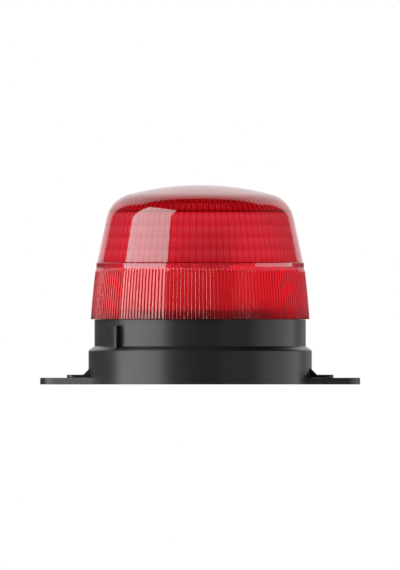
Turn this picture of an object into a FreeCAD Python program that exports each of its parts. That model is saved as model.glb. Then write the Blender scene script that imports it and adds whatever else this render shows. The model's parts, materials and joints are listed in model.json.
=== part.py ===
import FreeCAD, Part
import math
import os

# Flashing warning light: black two-eared base, red twist-off lens, LED lamp column inside.
# Millimetres. The origin is the centre of the mounting plane, +Z is up and the ears lie along X.

Vector = FreeCAD.Vector
UP = Vector(0, 0, 1)

# Base housing
collar_r = 58.1             # plain collar below the lens
collar_h = 14.7
shoulder_w = 3.3            # slope between drum and collar
shoulder_h = 2.2
drum_h = 18.8
drum_edge = 0.4             # small bevel on the drum's upper edge
wall = 2.6
floor_t = 3.0
spigot_inset = 5.5          # the inner cup wall stands this far inside the collar
spigot_h = 4.8              # the cup wall rises this far above the collar
ledge_t = 3.7               # thickness of the ring that closes the collar
pocket_rib_count = 12
pocket_rib_t = 1.8

# Ears
ear_length = 26.6           # beyond the drum
ear_end_r = 11.5
ear_side_angle = 20.0       # each side leans in by this much towards the tip
ear_t = 3.7
pad_length = 11.9           # raised root of the ear, beyond the drum
pad_margin = 0.8            # the pad is wider than the gussets on it by this much on each side
pad_t = 5.4
pad_corner_r = 4.3
ear_hole_d = 5.5
spot_face_d = 12.0
gusset_span = 21.4          # over the outer faces of an ear's two gussets
gusset_t = 2.4
gusset_run = 2.9            # foot of the gusset beyond the drum

# Key rib on the collar
key_angle = 219.8           # degrees from +X
key_w = 3.0
key_h = 12.9
key_lift = 0.7              # above the drum's upper edge

# Bayonet between spigot and lens
lug_count = 4
lug_angle = 16.0
lug_t = 1.8
ledge_angle = 20.0
ledge_depth = 2.3
stop_angle = 2.5
stop_gap_angle = 1.0
run_gap = 0.3               # between pieces that turn past each other
lens_gap = 0.15             # under the lens rim

# Lens seal in the collar's top face
seal_w = 1.6
seal_h = 1.7
seal_setback = 0.4          # outside the lens flange's inner edge
seal_proud = 0.1            # above the collar's top face

# Lens band
lens_overhang = 2.1         # rim beyond the collar
band_h = 31.35
band_inset = 3.12           # the upper edge stands this far inside the rim
band_ring_h = 1.8           # plain upright ring below the seam
reed_count = 180
reed_depth = 0.45
reed_fade_h = 3.6           # below the plain ring, over which the reeds run out
reed_fade_w = 0.75          # the band widens by this much over that height
lens_wall = 1.9

# Lens dome
seam_step = 0.35            # the band stands proud of the dome at the seam
tongue_h = 1.5
tongue_inset = 0.85
weld_gap = 0.1
dome_h = 42.65
dome_draft = 12.0           # degrees
crown_r = 153.0
dome_corner_r = 17.2
pillow_rows = 4
pillow_columns = 90
pillow_start = 0.7          # plain wall between the seam and the first row
pillow_row_h = 6.67
pillow_depth = 0.5
pillow_margin = 0.3         # ledges at the ends of the rows

# Gasket and cable entry
gasket_w = 3.0
gasket_t = 1.0
gasket_setback = 0.9        # inside the cup wall
entry_y = 30.0
entry_d = 13.0
grommet_bore_d = 6.4
grommet_flange_w = 2.5
grommet_lip_t = 1.5
grommet_nose_h = 4.0
slip = 0.1                  # radial room of pieces that are pushed into place

# Screws, as groups of equal ones
pilot_gap = 0.05
small_shank_d = 2.4
small_head_d = 4.4
small_head_h = 1.6
small_length = 6.0
large_shank_d = 2.9
large_head_d = 5.4
large_head_h = 2.0
large_length = 9.0
strip_grip = 3.0            # of a strip screw in the column's wall

# Driver board
board_clearance = 6.0       # to the cup wall
board_t = 1.6
board_lift = 6.0
board_post_setback = 8.0    # inside the board's edge
board_post_angles = (55.0, 125.0, 200.0, 340.0)
board_post_r = 3.2
notch_d = 15.0              # cut for the cable

# Light deck
deck_t = 2.4
deck_post_setback = 8.0     # inside the cup wall
deck_post_angles = (30.0, 150.0, 270.0)
deck_post_r = 3.6
deck_lip_t = 2.0
deck_lip_h = 3.0
deck_hub_w = 2.0
deck_hub_h = 3.0
deck_hub_gap = 3.7          # outside the column's corners
post_gap = 0.6

# Lamp column and its strips
column_flats = 28.0
column_h = 38.0
column_sides = 6
column_bore_d = 17.0
column_screw_ring_r = 11.2
column_screw_angles = (0.0, 120.0, 240.0)
column_fin_t = 1.6
column_fin_l = 2.6
strip_w = 14.0
strip_t = 1.2
strip_led_count = 3
led_w = 5.0
led_t = 1.0
led_dome_d = 3.8
led_dome_top_d = 1.9
led_dome_h = 1.3
top_led_ring_r = 6.5
top_led_angles = (60.0, 180.0, 300.0)

# Parts on the driver board
terminal_ways = 3
terminal_pitch = 5.0
terminal_depth = 9.0
terminal_h = 11.0
terminal_wall = 0.8
terminal_y = 13.0
clamp_h = 4.2
terminal_screw_d = 3.2
terminal_screw_h = 2.2
capacitor_d = 12.5
capacitor_h = 20.0
capacitor_places = ((-24.0, -2.0), (-17.0, -18.0))
choke_d = 14.0
choke_h = 10.0
choke_neck_d = 6.0
choke_flange_t = 1.6
choke_place = (21.0, 4.0)
varistor_d = 10.0
varistor_t = 4.0
varistor_stand = 3.0
varistor_place = (-18.0, 13.0)
bridge_size = (8.5, 6.5, 3.2)
bridge_place = (16.0, 17.0)
chip_size = (5.0, 4.0, 1.5)
chip_place = (9.0, -17.0)
switch_size = (6.5, 6.1, 2.3)
switch_place = (22.0, -12.0)
lead_d = 0.8
header_size = (7.5, 5.8, 7.0)
header_wall = 0.8
plug_rise = 4.0
wire_d = 1.6
wire_pitch = 2.5

# Worked out from the above
drum_r = collar_r + shoulder_w
shoulder_z = drum_h + shoulder_h
collar_z = shoulder_z + collar_h
spigot_r = collar_r - spigot_inset
cup_r = spigot_r - wall
spigot_z = collar_z + spigot_h
ledge_r = spigot_r + ledge_depth
flange_r = ledge_r + run_gap
lug_r = spigot_r + run_gap
rim_z = collar_z + lens_gap
lug_z = rim_z + lug_t
lens_r = collar_r + lens_overhang
seam_z = rim_z + band_h
seam_r = lens_r - band_inset
dome_r = seam_r - seam_step
apex_z = seam_z + dome_h
ear_tip = drum_r + ear_length
ear_hole_x = ear_tip - ear_end_r
board_z = floor_t + board_lift
board_top = board_z + board_t
deck_z = spigot_z + deck_t
column_top = deck_z + column_h
lens_draft = math.tan(math.radians(dome_draft))
board_r = cup_r - board_clearance
board_post_ring_r = board_r - board_post_setback
deck_post_ring_r = cup_r - deck_post_setback
column_corner_r = column_flats / 2 / math.cos(math.pi / column_sides)
small_screw = dict(shank_d=small_shank_d, head_d=small_head_d, head_h=small_head_h, length=small_length)
large_screw = dict(shank_d=large_shank_d, head_d=large_head_d, head_h=large_head_h, length=large_length)
strip_screw = dict(small_screw, length=strip_t + strip_grip)


def polar(radius, degrees, z=0.0):
    angle = math.radians(degrees)
    return Vector(radius * math.cos(angle), radius * math.sin(angle), z)


def cylinder(radius, height, base=Vector(0, 0, 0), axis=UP):
    return Part.makeCylinder(radius, height, base, axis)


def ring(outer_r, inner_r, z_low, z_high):
    height = z_high - z_low
    base = Vector(0, 0, z_low)
    return cylinder(outer_r, height, base).cut(cylinder(inner_r, height, base))


def box(size_x, size_y, size_z, centre_x=0.0, centre_y=0.0, z_low=0.0):
    corner = Vector(centre_x - size_x / 2, centre_y - size_y / 2, z_low)
    return Part.makeBox(size_x, size_y, size_z, corner)


def turned(points):
    """Solid of revolution about Z from (radius, z) corners."""
    corners = [Vector(r, 0, z) for r, z in points]
    face = Part.Face(Part.makePolygon(corners + corners[:1]))
    return face.revolve(Vector(0, 0, 0), UP, 360)


def sector(outer_r, inner_r, z_low, z_high, start, sweep):
    """Piece of a ring between two angles in degrees."""
    corners = [
        Vector(inner_r, 0, z_low),
        Vector(outer_r, 0, z_low),
        Vector(outer_r, 0, z_high),
        Vector(inner_r, 0, z_high),
    ]
    face = Part.Face(Part.makePolygon(corners + corners[:1]))
    solid = face.revolve(Vector(0, 0, 0), UP, sweep)
    solid.rotate(Vector(0, 0, 0), UP, start)
    return solid


def extruded(points, z_low, height):
    """Upright prism from (x, y) corners."""
    corners = [Vector(x, y, z_low) for x, y in points]
    face = Part.Face(Part.makePolygon(corners + corners[:1]))
    return face.extrude(Vector(0, 0, height))


def spun(shape, degrees):
    copy = shape.copy()
    copy.rotate(Vector(0, 0, 0), UP, degrees)
    return copy


def joined(shapes):
    shapes = list(shapes)
    return shapes[0].fuse(shapes[1:]).removeSplitter()


def without(shape, cutters):
    return shape.cut(list(cutters)).removeSplitter()


def screw(shank_d, head_d, head_h, length, seat, axis):
    """Pan-head screw whose head sits on the seat point, with its shank along minus axis."""
    body = turned([
        (0, -length),
        (shank_d / 2, -length),
        (shank_d / 2, 0),
        (head_d / 2, 0),
        (head_d / 2, head_h / 2),
        (shank_d / 2, head_h),
        (0, head_h),
    ])
    body.Placement = FreeCAD.Placement(seat, FreeCAD.Rotation(UP, axis))
    return body


def pilot(kind, seat, axis, depth):
    """Hole for the shank of a screw, from its seat inwards."""
    return cylinder(kind["shank_d"] / 2 + pilot_gap, depth, seat - axis * depth, axis)


def screw_depth(kind):
    return kind["length"] + 2 * pilot_gap


def ear_plan(reach, end_r):
    """Half plan of an ear along +X: straight leaning sides and a round end."""
    lean = math.radians(ear_side_angle)
    centre = reach - end_r
    touch_x = centre + end_r * math.sin(lean)
    touch_y = end_r * math.cos(lean)
    root_y = touch_y + (touch_x - cup_r) * math.tan(lean)
    lower = Vector(touch_x, -touch_y, 0)
    upper = Vector(touch_x, touch_y, 0)
    arc = Part.Arc(lower, Vector(reach, 0, 0), upper).toShape()
    side_high = Part.makeLine(upper, Vector(cup_r, root_y, 0))
    root = Part.makeLine(Vector(cup_r, root_y, 0), Vector(cup_r, -root_y, 0))
    side_low = Part.makeLine(Vector(cup_r, -root_y, 0), lower)
    return Part.Face(Part.Wire([arc, side_high, root, side_low]))


def make_ear():
    plan = ear_plan(ear_tip, ear_end_r)
    plate = plan.extrude(Vector(0, 0, ear_t))
    pad_x = drum_r + pad_length
    raised = box(pad_x - cup_r, gusset_span + 2 * pad_margin, pad_t, (pad_x + cup_r) / 2)
    outer_corners = [
        edge for edge in raised.Edges
        if edge.BoundBox.XLength < pilot_gap
        and edge.BoundBox.ZLength > pad_t / 2
        and edge.BoundBox.XMax > pad_x - pilot_gap
    ]
    raised = raised.makeFillet(pad_corner_r, outer_corners)
    spot_face = cylinder(spot_face_d / 2, pad_t, Vector(ear_hole_x, 0, ear_t))
    ear = plate.fuse(raised.cut(spot_face))
    foot_x = drum_r + gusset_run
    rise = foot_x - spigot_r
    for side in (-1, 1):
        corners = [
            Vector(foot_x, 0, pad_t),
            Vector(spigot_r, 0, pad_t + rise),
            Vector(spigot_r, 0, pad_t),
        ]
        face = Part.Face(Part.makePolygon(corners + corners[:1]))
        face.translate(Vector(0, side * gusset_span / 2, 0))
        ear = ear.fuse(face.extrude(Vector(0, -side * gusset_t, 0)))
    return ear.cut(cylinder(ear_hole_d / 2, pad_t, Vector(ear_hole_x, 0, 0)))


def make_pocket():
    """Cored space under the shoulder, open at the bottom and crossed by ribs."""
    core = turned([
        (spigot_r, 0),
        (drum_r - wall, 0),
        (drum_r - wall, drum_h - wall),
        (collar_r - wall, shoulder_z - wall),
        (collar_r - wall, collar_z - ledge_t),
        (spigot_r, collar_z - ledge_t),
    ])
    rib = box(drum_r, pocket_rib_t, collar_z, drum_r / 2)
    step = 360.0 / pocket_rib_count
    return core.cut([spun(rib, step * (index + 0.5)) for index in range(pocket_rib_count)])


def deck_screw_seats():
    return [polar(deck_post_ring_r, angle, deck_z) for angle in deck_post_angles]


def board_screw_seats():
    return [polar(board_post_ring_r, angle, board_top) for angle in board_post_angles]


def column_screw_seats():
    return [polar(column_screw_ring_r, angle, spigot_z) for angle in column_screw_angles]


def top_screw_seats():
    return [polar(column_screw_ring_r, angle, column_top + board_t) for angle in column_screw_angles]


def make_base():
    shell = turned([
        (0, 0),
        (drum_r, 0),
        (drum_r, drum_h - drum_edge),
        (drum_r - drum_edge, drum_h + drum_edge * shoulder_h / shoulder_w),
        (collar_r, shoulder_z),
        (collar_r, collar_z),
        (spigot_r, collar_z),
        (spigot_r, spigot_z),
        (0, spigot_z),
    ])
    ear = make_ear()
    shell = joined([shell, ear, spun(ear, 180)])
    shell = without(shell, [
        cylinder(cup_r, spigot_z, Vector(0, 0, floor_t)),
        make_pocket(),
    ])

    additions = []
    for angle in deck_post_angles:
        post = cylinder(deck_post_r, spigot_z - floor_t, polar(deck_post_ring_r, angle, floor_t))
        web_l = spigot_r - wall / 2 - deck_post_ring_r
        web_h = spigot_z - floor_t - deck_lip_h - post_gap
        web = box(web_l, pocket_rib_t, web_h, deck_post_ring_r + web_l / 2, 0, floor_t)
        additions.append(post.fuse(spun(web, angle)))
    for angle in board_post_angles:
        additions.append(cylinder(board_post_r, board_lift, polar(board_post_ring_r, angle, floor_t)))
    pitch = 360.0 / lug_count
    for index in range(lug_count):
        start = index * pitch - ledge_angle / 2
        additions.append(sector(ledge_r, cup_r + wall / 2, lug_z + run_gap, spigot_z, start, ledge_angle))
        stop_start = index * pitch - lug_angle / 2 - stop_gap_angle - stop_angle
        additions.append(sector(ledge_r, cup_r + wall / 2, collar_z - slip, spigot_z, stop_start, stop_angle))
    key = box(drum_r, key_w, key_h, drum_r / 2, 0, drum_h + key_lift)
    key = key.cut(cylinder(collar_r - wall / 2, spigot_z)).common(cylinder(drum_r, spigot_z))
    additions.append(spun(key, key_angle))
    shell = joined([shell] + additions)

    cuts = [ring(seal_inner_r() + seal_w, seal_inner_r(), seal_low(), collar_z)]
    cuts.append(ring(gasket_outer_r(), gasket_outer_r() - gasket_w, 0, gasket_t))
    entry = Vector(0, entry_y, 0)
    cuts.append(cylinder(entry_d / 2, floor_t, entry))
    cuts.append(cylinder(entry_d / 2 + grommet_flange_w + slip, grommet_lip_t, entry))
    for seat in deck_screw_seats():
        cuts.append(pilot(large_screw, seat, UP, screw_depth(large_screw)))
    for seat in board_screw_seats():
        cuts.append(pilot(small_screw, seat, UP, screw_depth(small_screw)))
    return without(shell, cuts)


def seal_inner_r():
    return flange_r + seal_setback


def seal_low():
    return collar_z + seal_proud - seal_h


def gasket_outer_r():
    return cup_r - gasket_setback


def make_seal():
    inner = seal_inner_r() + slip
    outer = seal_inner_r() + seal_w - slip
    return ring(outer, inner, seal_low(), seal_low() + seal_h)


def make_gasket():
    return ring(gasket_outer_r() - slip, gasket_outer_r() - gasket_w + slip, 0, gasket_t)


def make_grommet():
    hole_r = entry_d / 2 - slip
    flange = entry_d / 2 + grommet_flange_w
    bore_r = grommet_bore_d / 2
    top = floor_t + grommet_lip_t
    body = turned([
        (bore_r, 0),
        (flange, 0),
        (flange, grommet_lip_t),
        (hole_r, grommet_lip_t),
        (hole_r, floor_t),
        (flange, floor_t),
        (flange, top),
        (hole_r, top),
        (bore_r + grommet_lip_t, top + grommet_nose_h),
        (bore_r, top + grommet_nose_h),
    ])
    body.translate(Vector(0, entry_y, 0))
    return body


def band_inner_radius(z):
    return lens_r - band_inset * (z - rim_z) / band_h - reed_depth - lens_wall


def starred(count, high_r, low_r, z):
    """Closed polygon whose corners lie on two radii in turn."""
    step = 180.0 / count
    corners = [polar(low_r if index % 2 else high_r, index * step, z) for index in range(2 * count)]
    return Part.makePolygon(corners + corners[:1])


def make_band():
    ring_z = seam_z - band_ring_h
    levels = [
        (lens_r, reed_depth, rim_z),
        (seam_r + reed_fade_w, reed_depth, ring_z - reed_fade_h),
        (seam_r, 0.0, ring_z),
        (seam_r, 0.0, seam_z),
    ]
    wires = [starred(reed_count, radius, radius - depth, z) for radius, depth, z in levels]
    band = Part.makeLoft(wires, True, True)
    seat_z = seam_z - tongue_h
    room = turned([
        (0, rim_z),
        (flange_r, rim_z),
        (flange_r, lug_z),
        (band_inner_radius(lug_z), lug_z),
        (band_inner_radius(seat_z), seat_z),
        (dome_r - tongue_inset + weld_gap, seat_z),
        (dome_r - tongue_inset + weld_gap, seam_z),
        (0, seam_z),
    ])
    band = band.cut(room)
    pitch = 360.0 / lug_count
    lugs = [
        sector(flange_r + ledge_depth / 2, lug_r, rim_z, lug_z, index * pitch - lug_angle / 2, lug_angle)
        for index in range(lug_count)
    ]
    return joined([band] + lugs)


def dome_radius(z):
    return dome_r - (z - seam_z) * lens_draft


def domed(inset, low_z):
    """Drafted wall under a spherical crown, moved inwards from the outer surface by the inset."""
    low_r = dome_radius(low_z) - inset
    height = apex_z - low_z
    cone = Part.makeCone(low_r, low_r - height * lens_draft, height, Vector(0, 0, low_z))
    crown = Part.makeSphere(crown_r - inset, Vector(0, 0, apex_z - crown_r))
    solid = cone.common(crown)
    rim = [edge for edge in solid.Edges if edge.isClosed() and edge.BoundBox.ZMin > seam_z + tongue_h]
    return solid.makeFillet(dome_corner_r - inset, rim)


def make_dome():
    seat_z = seam_z - tongue_h
    tongue = cylinder(dome_r - tongue_inset, tongue_h, Vector(0, 0, seat_z))
    room = domed(lens_wall + pillow_depth + pillow_margin, seat_z)
    return domed(0, seam_z).fuse(tongue).cut([room, pillow_core()])


def pillow_core():
    """Core that leaves a grid of four-sided pillows on the inside of the dome's wall."""
    turn = 360.0 / pillow_columns

    def groove(row, column):
        z = seam_z + pillow_start + row * pillow_row_h
        return polar(dome_radius(z) - lens_wall, column * turn, z)

    def crest(row, column):
        z = seam_z + pillow_start + (row + 0.5) * pillow_row_h
        return polar(dome_radius(z) - lens_wall - pillow_depth, (column + 0.5) * turn, z)

    def facet(corners):
        return Part.Face(Part.makePolygon(corners + corners[:1]))

    facets = []
    for row in (0, pillow_rows):
        facets.append(facet([groove(row, column) for column in range(pillow_columns)]))
    for row in range(pillow_rows):
        for column in range(pillow_columns):
            corners = [
                groove(row, column),
                groove(row, column + 1),
                groove(row + 1, column + 1),
                groove(row + 1, column),
            ]
            for index in range(4):
                facets.append(facet([corners[index], corners[(index + 1) % 4], crest(row, column)]))
    return Part.Solid(Part.Shell(facets))


def make_board():
    board = cylinder(board_r, board_t, Vector(0, 0, board_z))
    cuts = [cylinder(deck_post_r + post_gap, board_t, polar(deck_post_ring_r, angle, board_z))
            for angle in deck_post_angles]
    web_l = board_r + deck_post_r - deck_post_ring_r
    slot = box(2 * web_l, pocket_rib_t + 2 * post_gap, board_t, deck_post_ring_r + web_l, 0, board_z)
    cuts += [spun(slot, angle) for angle in deck_post_angles]
    cuts.append(cylinder(notch_d / 2, board_t, Vector(0, entry_y, board_z)))
    cuts.append(box(notch_d, 2 * board_r, board_t, 0, entry_y + board_r, board_z))
    cuts += [pilot(small_screw, seat, UP, board_t) for seat in board_screw_seats()]
    return without(board, cuts)


def make_terminals():
    width = terminal_ways * terminal_pitch
    cage_w = terminal_pitch - 2 * terminal_wall
    cage_l = terminal_depth - 2 * terminal_wall
    cage_z = board_top + terminal_wall
    cage_y = terminal_y + terminal_wall
    screw_z = cage_z + clamp_h
    places = [(index - (terminal_ways - 1) / 2) * terminal_pitch for index in range(terminal_ways)]
    block = box(width, terminal_depth, terminal_h, 0, terminal_y, board_top)
    front_low = block.BoundBox.YMin
    slope = terminal_wedge(width, front_low, board_top + terminal_h)
    block = block.cut(slope)
    cuts = []
    clamps = []
    screws = []
    for x in places:
        cuts.append(box(cage_w, cage_l + terminal_wall, clamp_h, x, cage_y + terminal_wall / 2, cage_z))
        well = Vector(x, terminal_y, screw_z)
        cuts.append(cylinder(terminal_screw_d / 2 + slip, terminal_h, well))
        cage = box(cage_w - 2 * slip, cage_l, clamp_h, x, cage_y, cage_z)
        throat = box(cage_w - 2 * terminal_wall, cage_l, clamp_h / 2, x, cage_y, cage_z + clamp_h / 4)
        clamps.append(cage.cut(throat))
        body = cylinder(terminal_screw_d / 2, terminal_screw_h, well)
        slot = box(terminal_screw_d, terminal_screw_d / 5, terminal_screw_h / 2, x, terminal_y,
                   screw_z + terminal_screw_h / 2)
        screws.append(body.cut(slot))
    return without(block, cuts), Part.makeCompound(clamps), Part.makeCompound(screws)


def terminal_wedge(width, front_y, top_z):
    """Wedge that slopes the upper front edge of the terminal block."""
    reach = 2 * terminal_wall
    corners = [
        Vector(-width / 2, front_y, top_z),
        Vector(-width / 2, front_y + reach, top_z),
        Vector(-width / 2, front_y, top_z - reach),
    ]
    face = Part.Face(Part.makePolygon(corners + corners[:1]))
    return face.extrude(Vector(width, 0, 0))


def make_capacitor(x, y):
    radius = capacitor_d / 2
    bead = lead_d / 2
    can = turned([
        (0, 0),
        (radius - bead, 0),
        (radius, bead),
        (radius, 3 * bead),
        (radius - bead, 4 * bead),
        (radius, 5 * bead),
        (radius, capacitor_h - bead),
        (radius - bead, capacitor_h),
        (0, capacitor_h),
    ])
    can.translate(Vector(x, y, board_top))
    return can


def make_choke():
    radius = choke_d / 2
    neck = choke_neck_d / 2
    core = turned([
        (0, 0),
        (radius, 0),
        (radius, choke_flange_t),
        (neck, choke_flange_t),
        (neck, choke_h - choke_flange_t),
        (radius, choke_h - choke_flange_t),
        (radius, choke_h),
        (0, choke_h),
    ])
    winding = ring(radius - lead_d, neck, choke_flange_t, choke_h - choke_flange_t)
    for shape in (core, winding):
        shape.translate(Vector(choke_place[0], choke_place[1], board_top))
    return core, winding


def make_varistor():
    radius = varistor_d / 2
    disc = cylinder(radius, varistor_t, Vector(0, varistor_t / 2, radius + varistor_stand), Vector(0, -1, 0))
    disc = disc.makeChamfer(varistor_t / 4, [edge for edge in disc.Edges if edge.BoundBox.YLength < pilot_gap])
    legs = [cylinder(lead_d / 2, radius + varistor_stand, Vector(side * radius / 2, 0, 0)) for side in (-1, 1)]
    part = joined([disc] + legs)
    part.translate(Vector(varistor_place[0], varistor_place[1], board_top))
    return part


def make_packaged(size, place, legs_per_side):
    """Flat moulded part that stands on a row of bent legs along each long side."""
    length, width, height = size
    stand = lead_d / 2
    body = box(length, width, height, 0, 0, stand)
    body = body.makeChamfer(stand, [edge for edge in body.Edges if edge.BoundBox.ZLength > height / 2])
    pitch = length / legs_per_side
    legs = []
    for side in (-1, 1):
        for index in range(legs_per_side):
            x = (index + 0.5) * pitch - length / 2
            y = side * (width / 2 + lead_d)
            arm = box(lead_d, 3 * lead_d, stand, x, side * width / 2, height / 2)
            leg = box(lead_d, stand, height / 2, x, y + side * stand / 2, 0)
            foot = box(lead_d, 2 * stand, stand, x, y + side * stand, 0)
            legs += [arm, leg, foot]
    part = joined([body] + legs)
    part.translate(Vector(place[0], place[1], board_top))
    return part


def make_header():
    length, width, height = header_size
    tray = box(length, width, height, 0, 0, board_top)
    room = box(length - 2 * header_wall, width - 2 * header_wall, height, 0, 0, board_top + header_wall)
    return tray.cut(room)


def make_plug():
    length, width, height = header_size
    gap = header_wall + slip
    low = board_top + header_wall
    plug = box(length - 2 * gap, width - 2 * gap, height - header_wall + plug_rise, 0, 0, low)
    return plug.makeChamfer(slip * 4, [edge for edge in plug.Edges if edge.BoundBox.ZLength > plug_rise])


def make_wires():
    low = board_top + header_size[2] + plug_rise
    wires = [cylinder(wire_d / 2, column_top - low, Vector(side * wire_pitch / 2, 0, low)) for side in (-1, 1)]
    return Part.makeCompound(wires)


def make_deck():
    hub_r = column_corner_r + deck_hub_gap
    plate = cylinder(spigot_r, deck_t, Vector(0, 0, spigot_z))
    lip_r = cup_r - slip
    lip = ring(lip_r, lip_r - deck_lip_t, spigot_z - deck_lip_h, spigot_z)
    hub = ring(hub_r + deck_hub_w, hub_r, deck_z, deck_z + deck_hub_h)
    deck = joined([plate, lip, hub])
    cuts = [cylinder(column_bore_d / 2 - column_fin_l, deck_t, Vector(0, 0, spigot_z))]
    cuts += [pilot(large_screw, seat, UP, deck_t) for seat in deck_screw_seats()]
    cuts += [pilot(small_screw, seat, -UP, deck_t) for seat in column_screw_seats()]
    return without(deck, cuts)


def hexagon(z_low, height):
    turn = 360.0 / column_sides
    corners = [polar(column_corner_r, (index + 0.5) * turn) for index in range(column_sides)]
    return extruded([(corner.x, corner.y) for corner in corners], z_low, height)


def strip_screw_seats():
    """Seat and outward axis of each strip screw, two to a strip."""
    seats = []
    for index in range(column_sides):
        outward = polar(1, index * 360.0 / column_sides)
        for share in (1.0, strip_led_count - 1.0):
            z = deck_z + column_h * share / strip_led_count
            seats.append((outward * (column_flats / 2 + strip_t) + UP * z, outward))
    return seats


def make_column():
    column = hexagon(deck_z, column_h)
    column = column.cut(cylinder(column_bore_d / 2, column_h, Vector(0, 0, deck_z)))
    fin_x = column_bore_d / 2 - column_fin_l / 2
    fin = box(column_fin_l + column_fin_t, column_fin_t, column_h, fin_x + column_fin_t / 2, 0, deck_z)
    turn = 360.0 / column_sides
    column = joined([column] + [spun(fin, (index + 0.5) * turn) for index in range(column_sides)])
    cuts = [cylinder(small_screw["shank_d"] / 2 + pilot_gap, column_h, seat + UP * deck_t)
            for seat in column_screw_seats()]
    for seat, outward in strip_screw_seats():
        cuts.append(pilot(small_screw, seat, outward, strip_screw["length"] + pilot_gap + strip_t))
    return without(column, cuts)


def make_strip(index):
    strip = box(strip_t, strip_w, column_h + board_t, column_flats / 2 + strip_t / 2, 0, deck_z)
    strip = spun(strip, index * 360.0 / column_sides)
    return strip.cut([pilot(small_screw, seat, outward, 2 * strip_t)
                      for seat, outward in strip_screw_seats()])


def make_led(seat, outward):
    """Square emitter with a clear dome, on a seat that faces outward."""
    body = box(led_w, led_w, led_t)
    dome = Part.makeCone(led_dome_d / 2, led_dome_top_d / 2, led_dome_h, Vector(0, 0, led_t))
    led = body.fuse(dome)
    led.Placement = FreeCAD.Placement(seat, FreeCAD.Rotation(UP, outward))
    return led


def make_strip_leds():
    leds = []
    for side in range(column_sides):
        outward = polar(1, side * 360.0 / column_sides)
        for index in range(strip_led_count):
            z = deck_z + column_h * (index + 0.5) / strip_led_count
            leds.append(make_led(outward * (column_flats / 2 + strip_t) + UP * z, outward))
    return Part.makeCompound(leds)


def make_top_board():
    board = hexagon(column_top, board_t)
    return board.cut([pilot(small_screw, seat, UP, board_t) for seat in top_screw_seats()])


def make_top_leds():
    top = column_top + board_t
    return Part.makeCompound([make_led(polar(top_led_ring_r, angle, top), UP) for angle in top_led_angles])


def screw_group(kind, seats):
    return Part.makeCompound([screw(seat=seat, axis=axis, **kind) for seat, axis in seats])


core, winding = make_choke()
terminal_block, terminal_clamps, terminal_screws = make_terminals()

pieces = {
    "base_housing": make_base(),
    "base_gasket": make_gasket(),
    "cable_grommet": make_grommet(),
    "lens_seal": make_seal(),
    "lens_band": make_band(),
    "lens_dome": make_dome(),
    "driver_board": make_board(),
    "board_screws": screw_group(small_screw, [(seat, UP) for seat in board_screw_seats()]),
    "terminal_block": terminal_block,
    "terminal_clamps": terminal_clamps,
    "terminal_screws": terminal_screws,
    "storage_capacitors": Part.makeCompound([make_capacitor(x, y) for x, y in capacitor_places]),
    "choke_core": core,
    "choke_winding": winding,
    "surge_varistor": make_varistor(),
    "bridge_rectifier": make_packaged(bridge_size, bridge_place, 2),
    "driver_chip": make_packaged(chip_size, chip_place, 4),
    "power_switch": make_packaged(switch_size, switch_place, 2),
    "board_header": make_header(),
    "harness_plug": make_plug(),
    "lamp_wires": make_wires(),
    "light_deck": make_deck(),
    "deck_screws": screw_group(large_screw, [(seat, UP) for seat in deck_screw_seats()]),
    "lamp_column": make_column(),
    "column_screws": screw_group(small_screw, [(seat, -UP) for seat in column_screw_seats()]),
    "strip_leds": make_strip_leds(),
    "strip_screws": screw_group(strip_screw, strip_screw_seats()),
    "led_top_board": make_top_board(),
    "top_leds": make_top_leds(),
    "top_screws": screw_group(small_screw, [(seat, UP) for seat in top_screw_seats()]),
}
for number in range(column_sides):
    pieces["led_strip_%d" % (number + 1)] = make_strip(number)

os.makedirs("parts", exist_ok=True)
for name, shape in pieces.items():
    shape.exportStep("parts/%s.step" % name)
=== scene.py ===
import json
import math

import bmesh
import bpy
from mathutils import Matrix, Vector


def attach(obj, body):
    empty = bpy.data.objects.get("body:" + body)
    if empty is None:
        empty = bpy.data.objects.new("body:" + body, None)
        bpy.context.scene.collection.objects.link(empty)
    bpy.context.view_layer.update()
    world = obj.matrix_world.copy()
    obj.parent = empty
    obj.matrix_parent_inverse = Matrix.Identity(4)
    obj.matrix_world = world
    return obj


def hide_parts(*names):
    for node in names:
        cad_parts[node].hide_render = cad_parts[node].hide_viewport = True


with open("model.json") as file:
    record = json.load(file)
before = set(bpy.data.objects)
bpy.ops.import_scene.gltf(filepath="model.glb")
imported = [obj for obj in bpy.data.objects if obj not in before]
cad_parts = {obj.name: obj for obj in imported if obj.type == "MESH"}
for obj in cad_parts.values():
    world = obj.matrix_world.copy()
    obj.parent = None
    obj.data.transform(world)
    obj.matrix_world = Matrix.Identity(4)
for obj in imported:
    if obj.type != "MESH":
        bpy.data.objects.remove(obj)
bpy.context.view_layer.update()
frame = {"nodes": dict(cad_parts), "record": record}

mm = 0.001


# Shader sums: each operator on a Wire adds one Math node
class Wire:
    def __init__(self, tree, socket=None):
        self.tree = tree
        self.socket = socket

    def add(self, kind, settings, inputs, out=0):
        node = self.tree.nodes.new(kind)
        for key, value in settings.items():
            if key == "stops":
                fillRamp(node.color_ramp, value)
            else:
                setattr(node, key, value)
        for key, value in inputs.items():
            if isinstance(value, Wire):
                self.tree.links.new(value.socket, node.inputs[key])
            else:
                node.inputs[key].default_value = value
        return Wire(self.tree, node.outputs[out])

    def maths(self, operation, first, second):
        return self.add("ShaderNodeMath", {"operation": operation}, {0: first, 1: second})

    def __add__(self, other):
        return self.maths("ADD", self, other)

    def __sub__(self, other):
        return self.maths("SUBTRACT", self, other)

    def __mul__(self, other):
        return self.maths("MULTIPLY", self, other)

    def __truediv__(self, other):
        return self.maths("DIVIDE", self, other)

    def __rsub__(self, other):
        return self.maths("SUBTRACT", other, self)

    __radd__ = __add__
    __rmul__ = __mul__


def fillRamp(ramp, stops):
    while len(ramp.elements) < len(stops):
        ramp.elements.new(1.0)
    for element, (position, value) in zip(ramp.elements, stops):
        element.position = position
        element.color = (value, value, value, 1.0)


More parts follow.
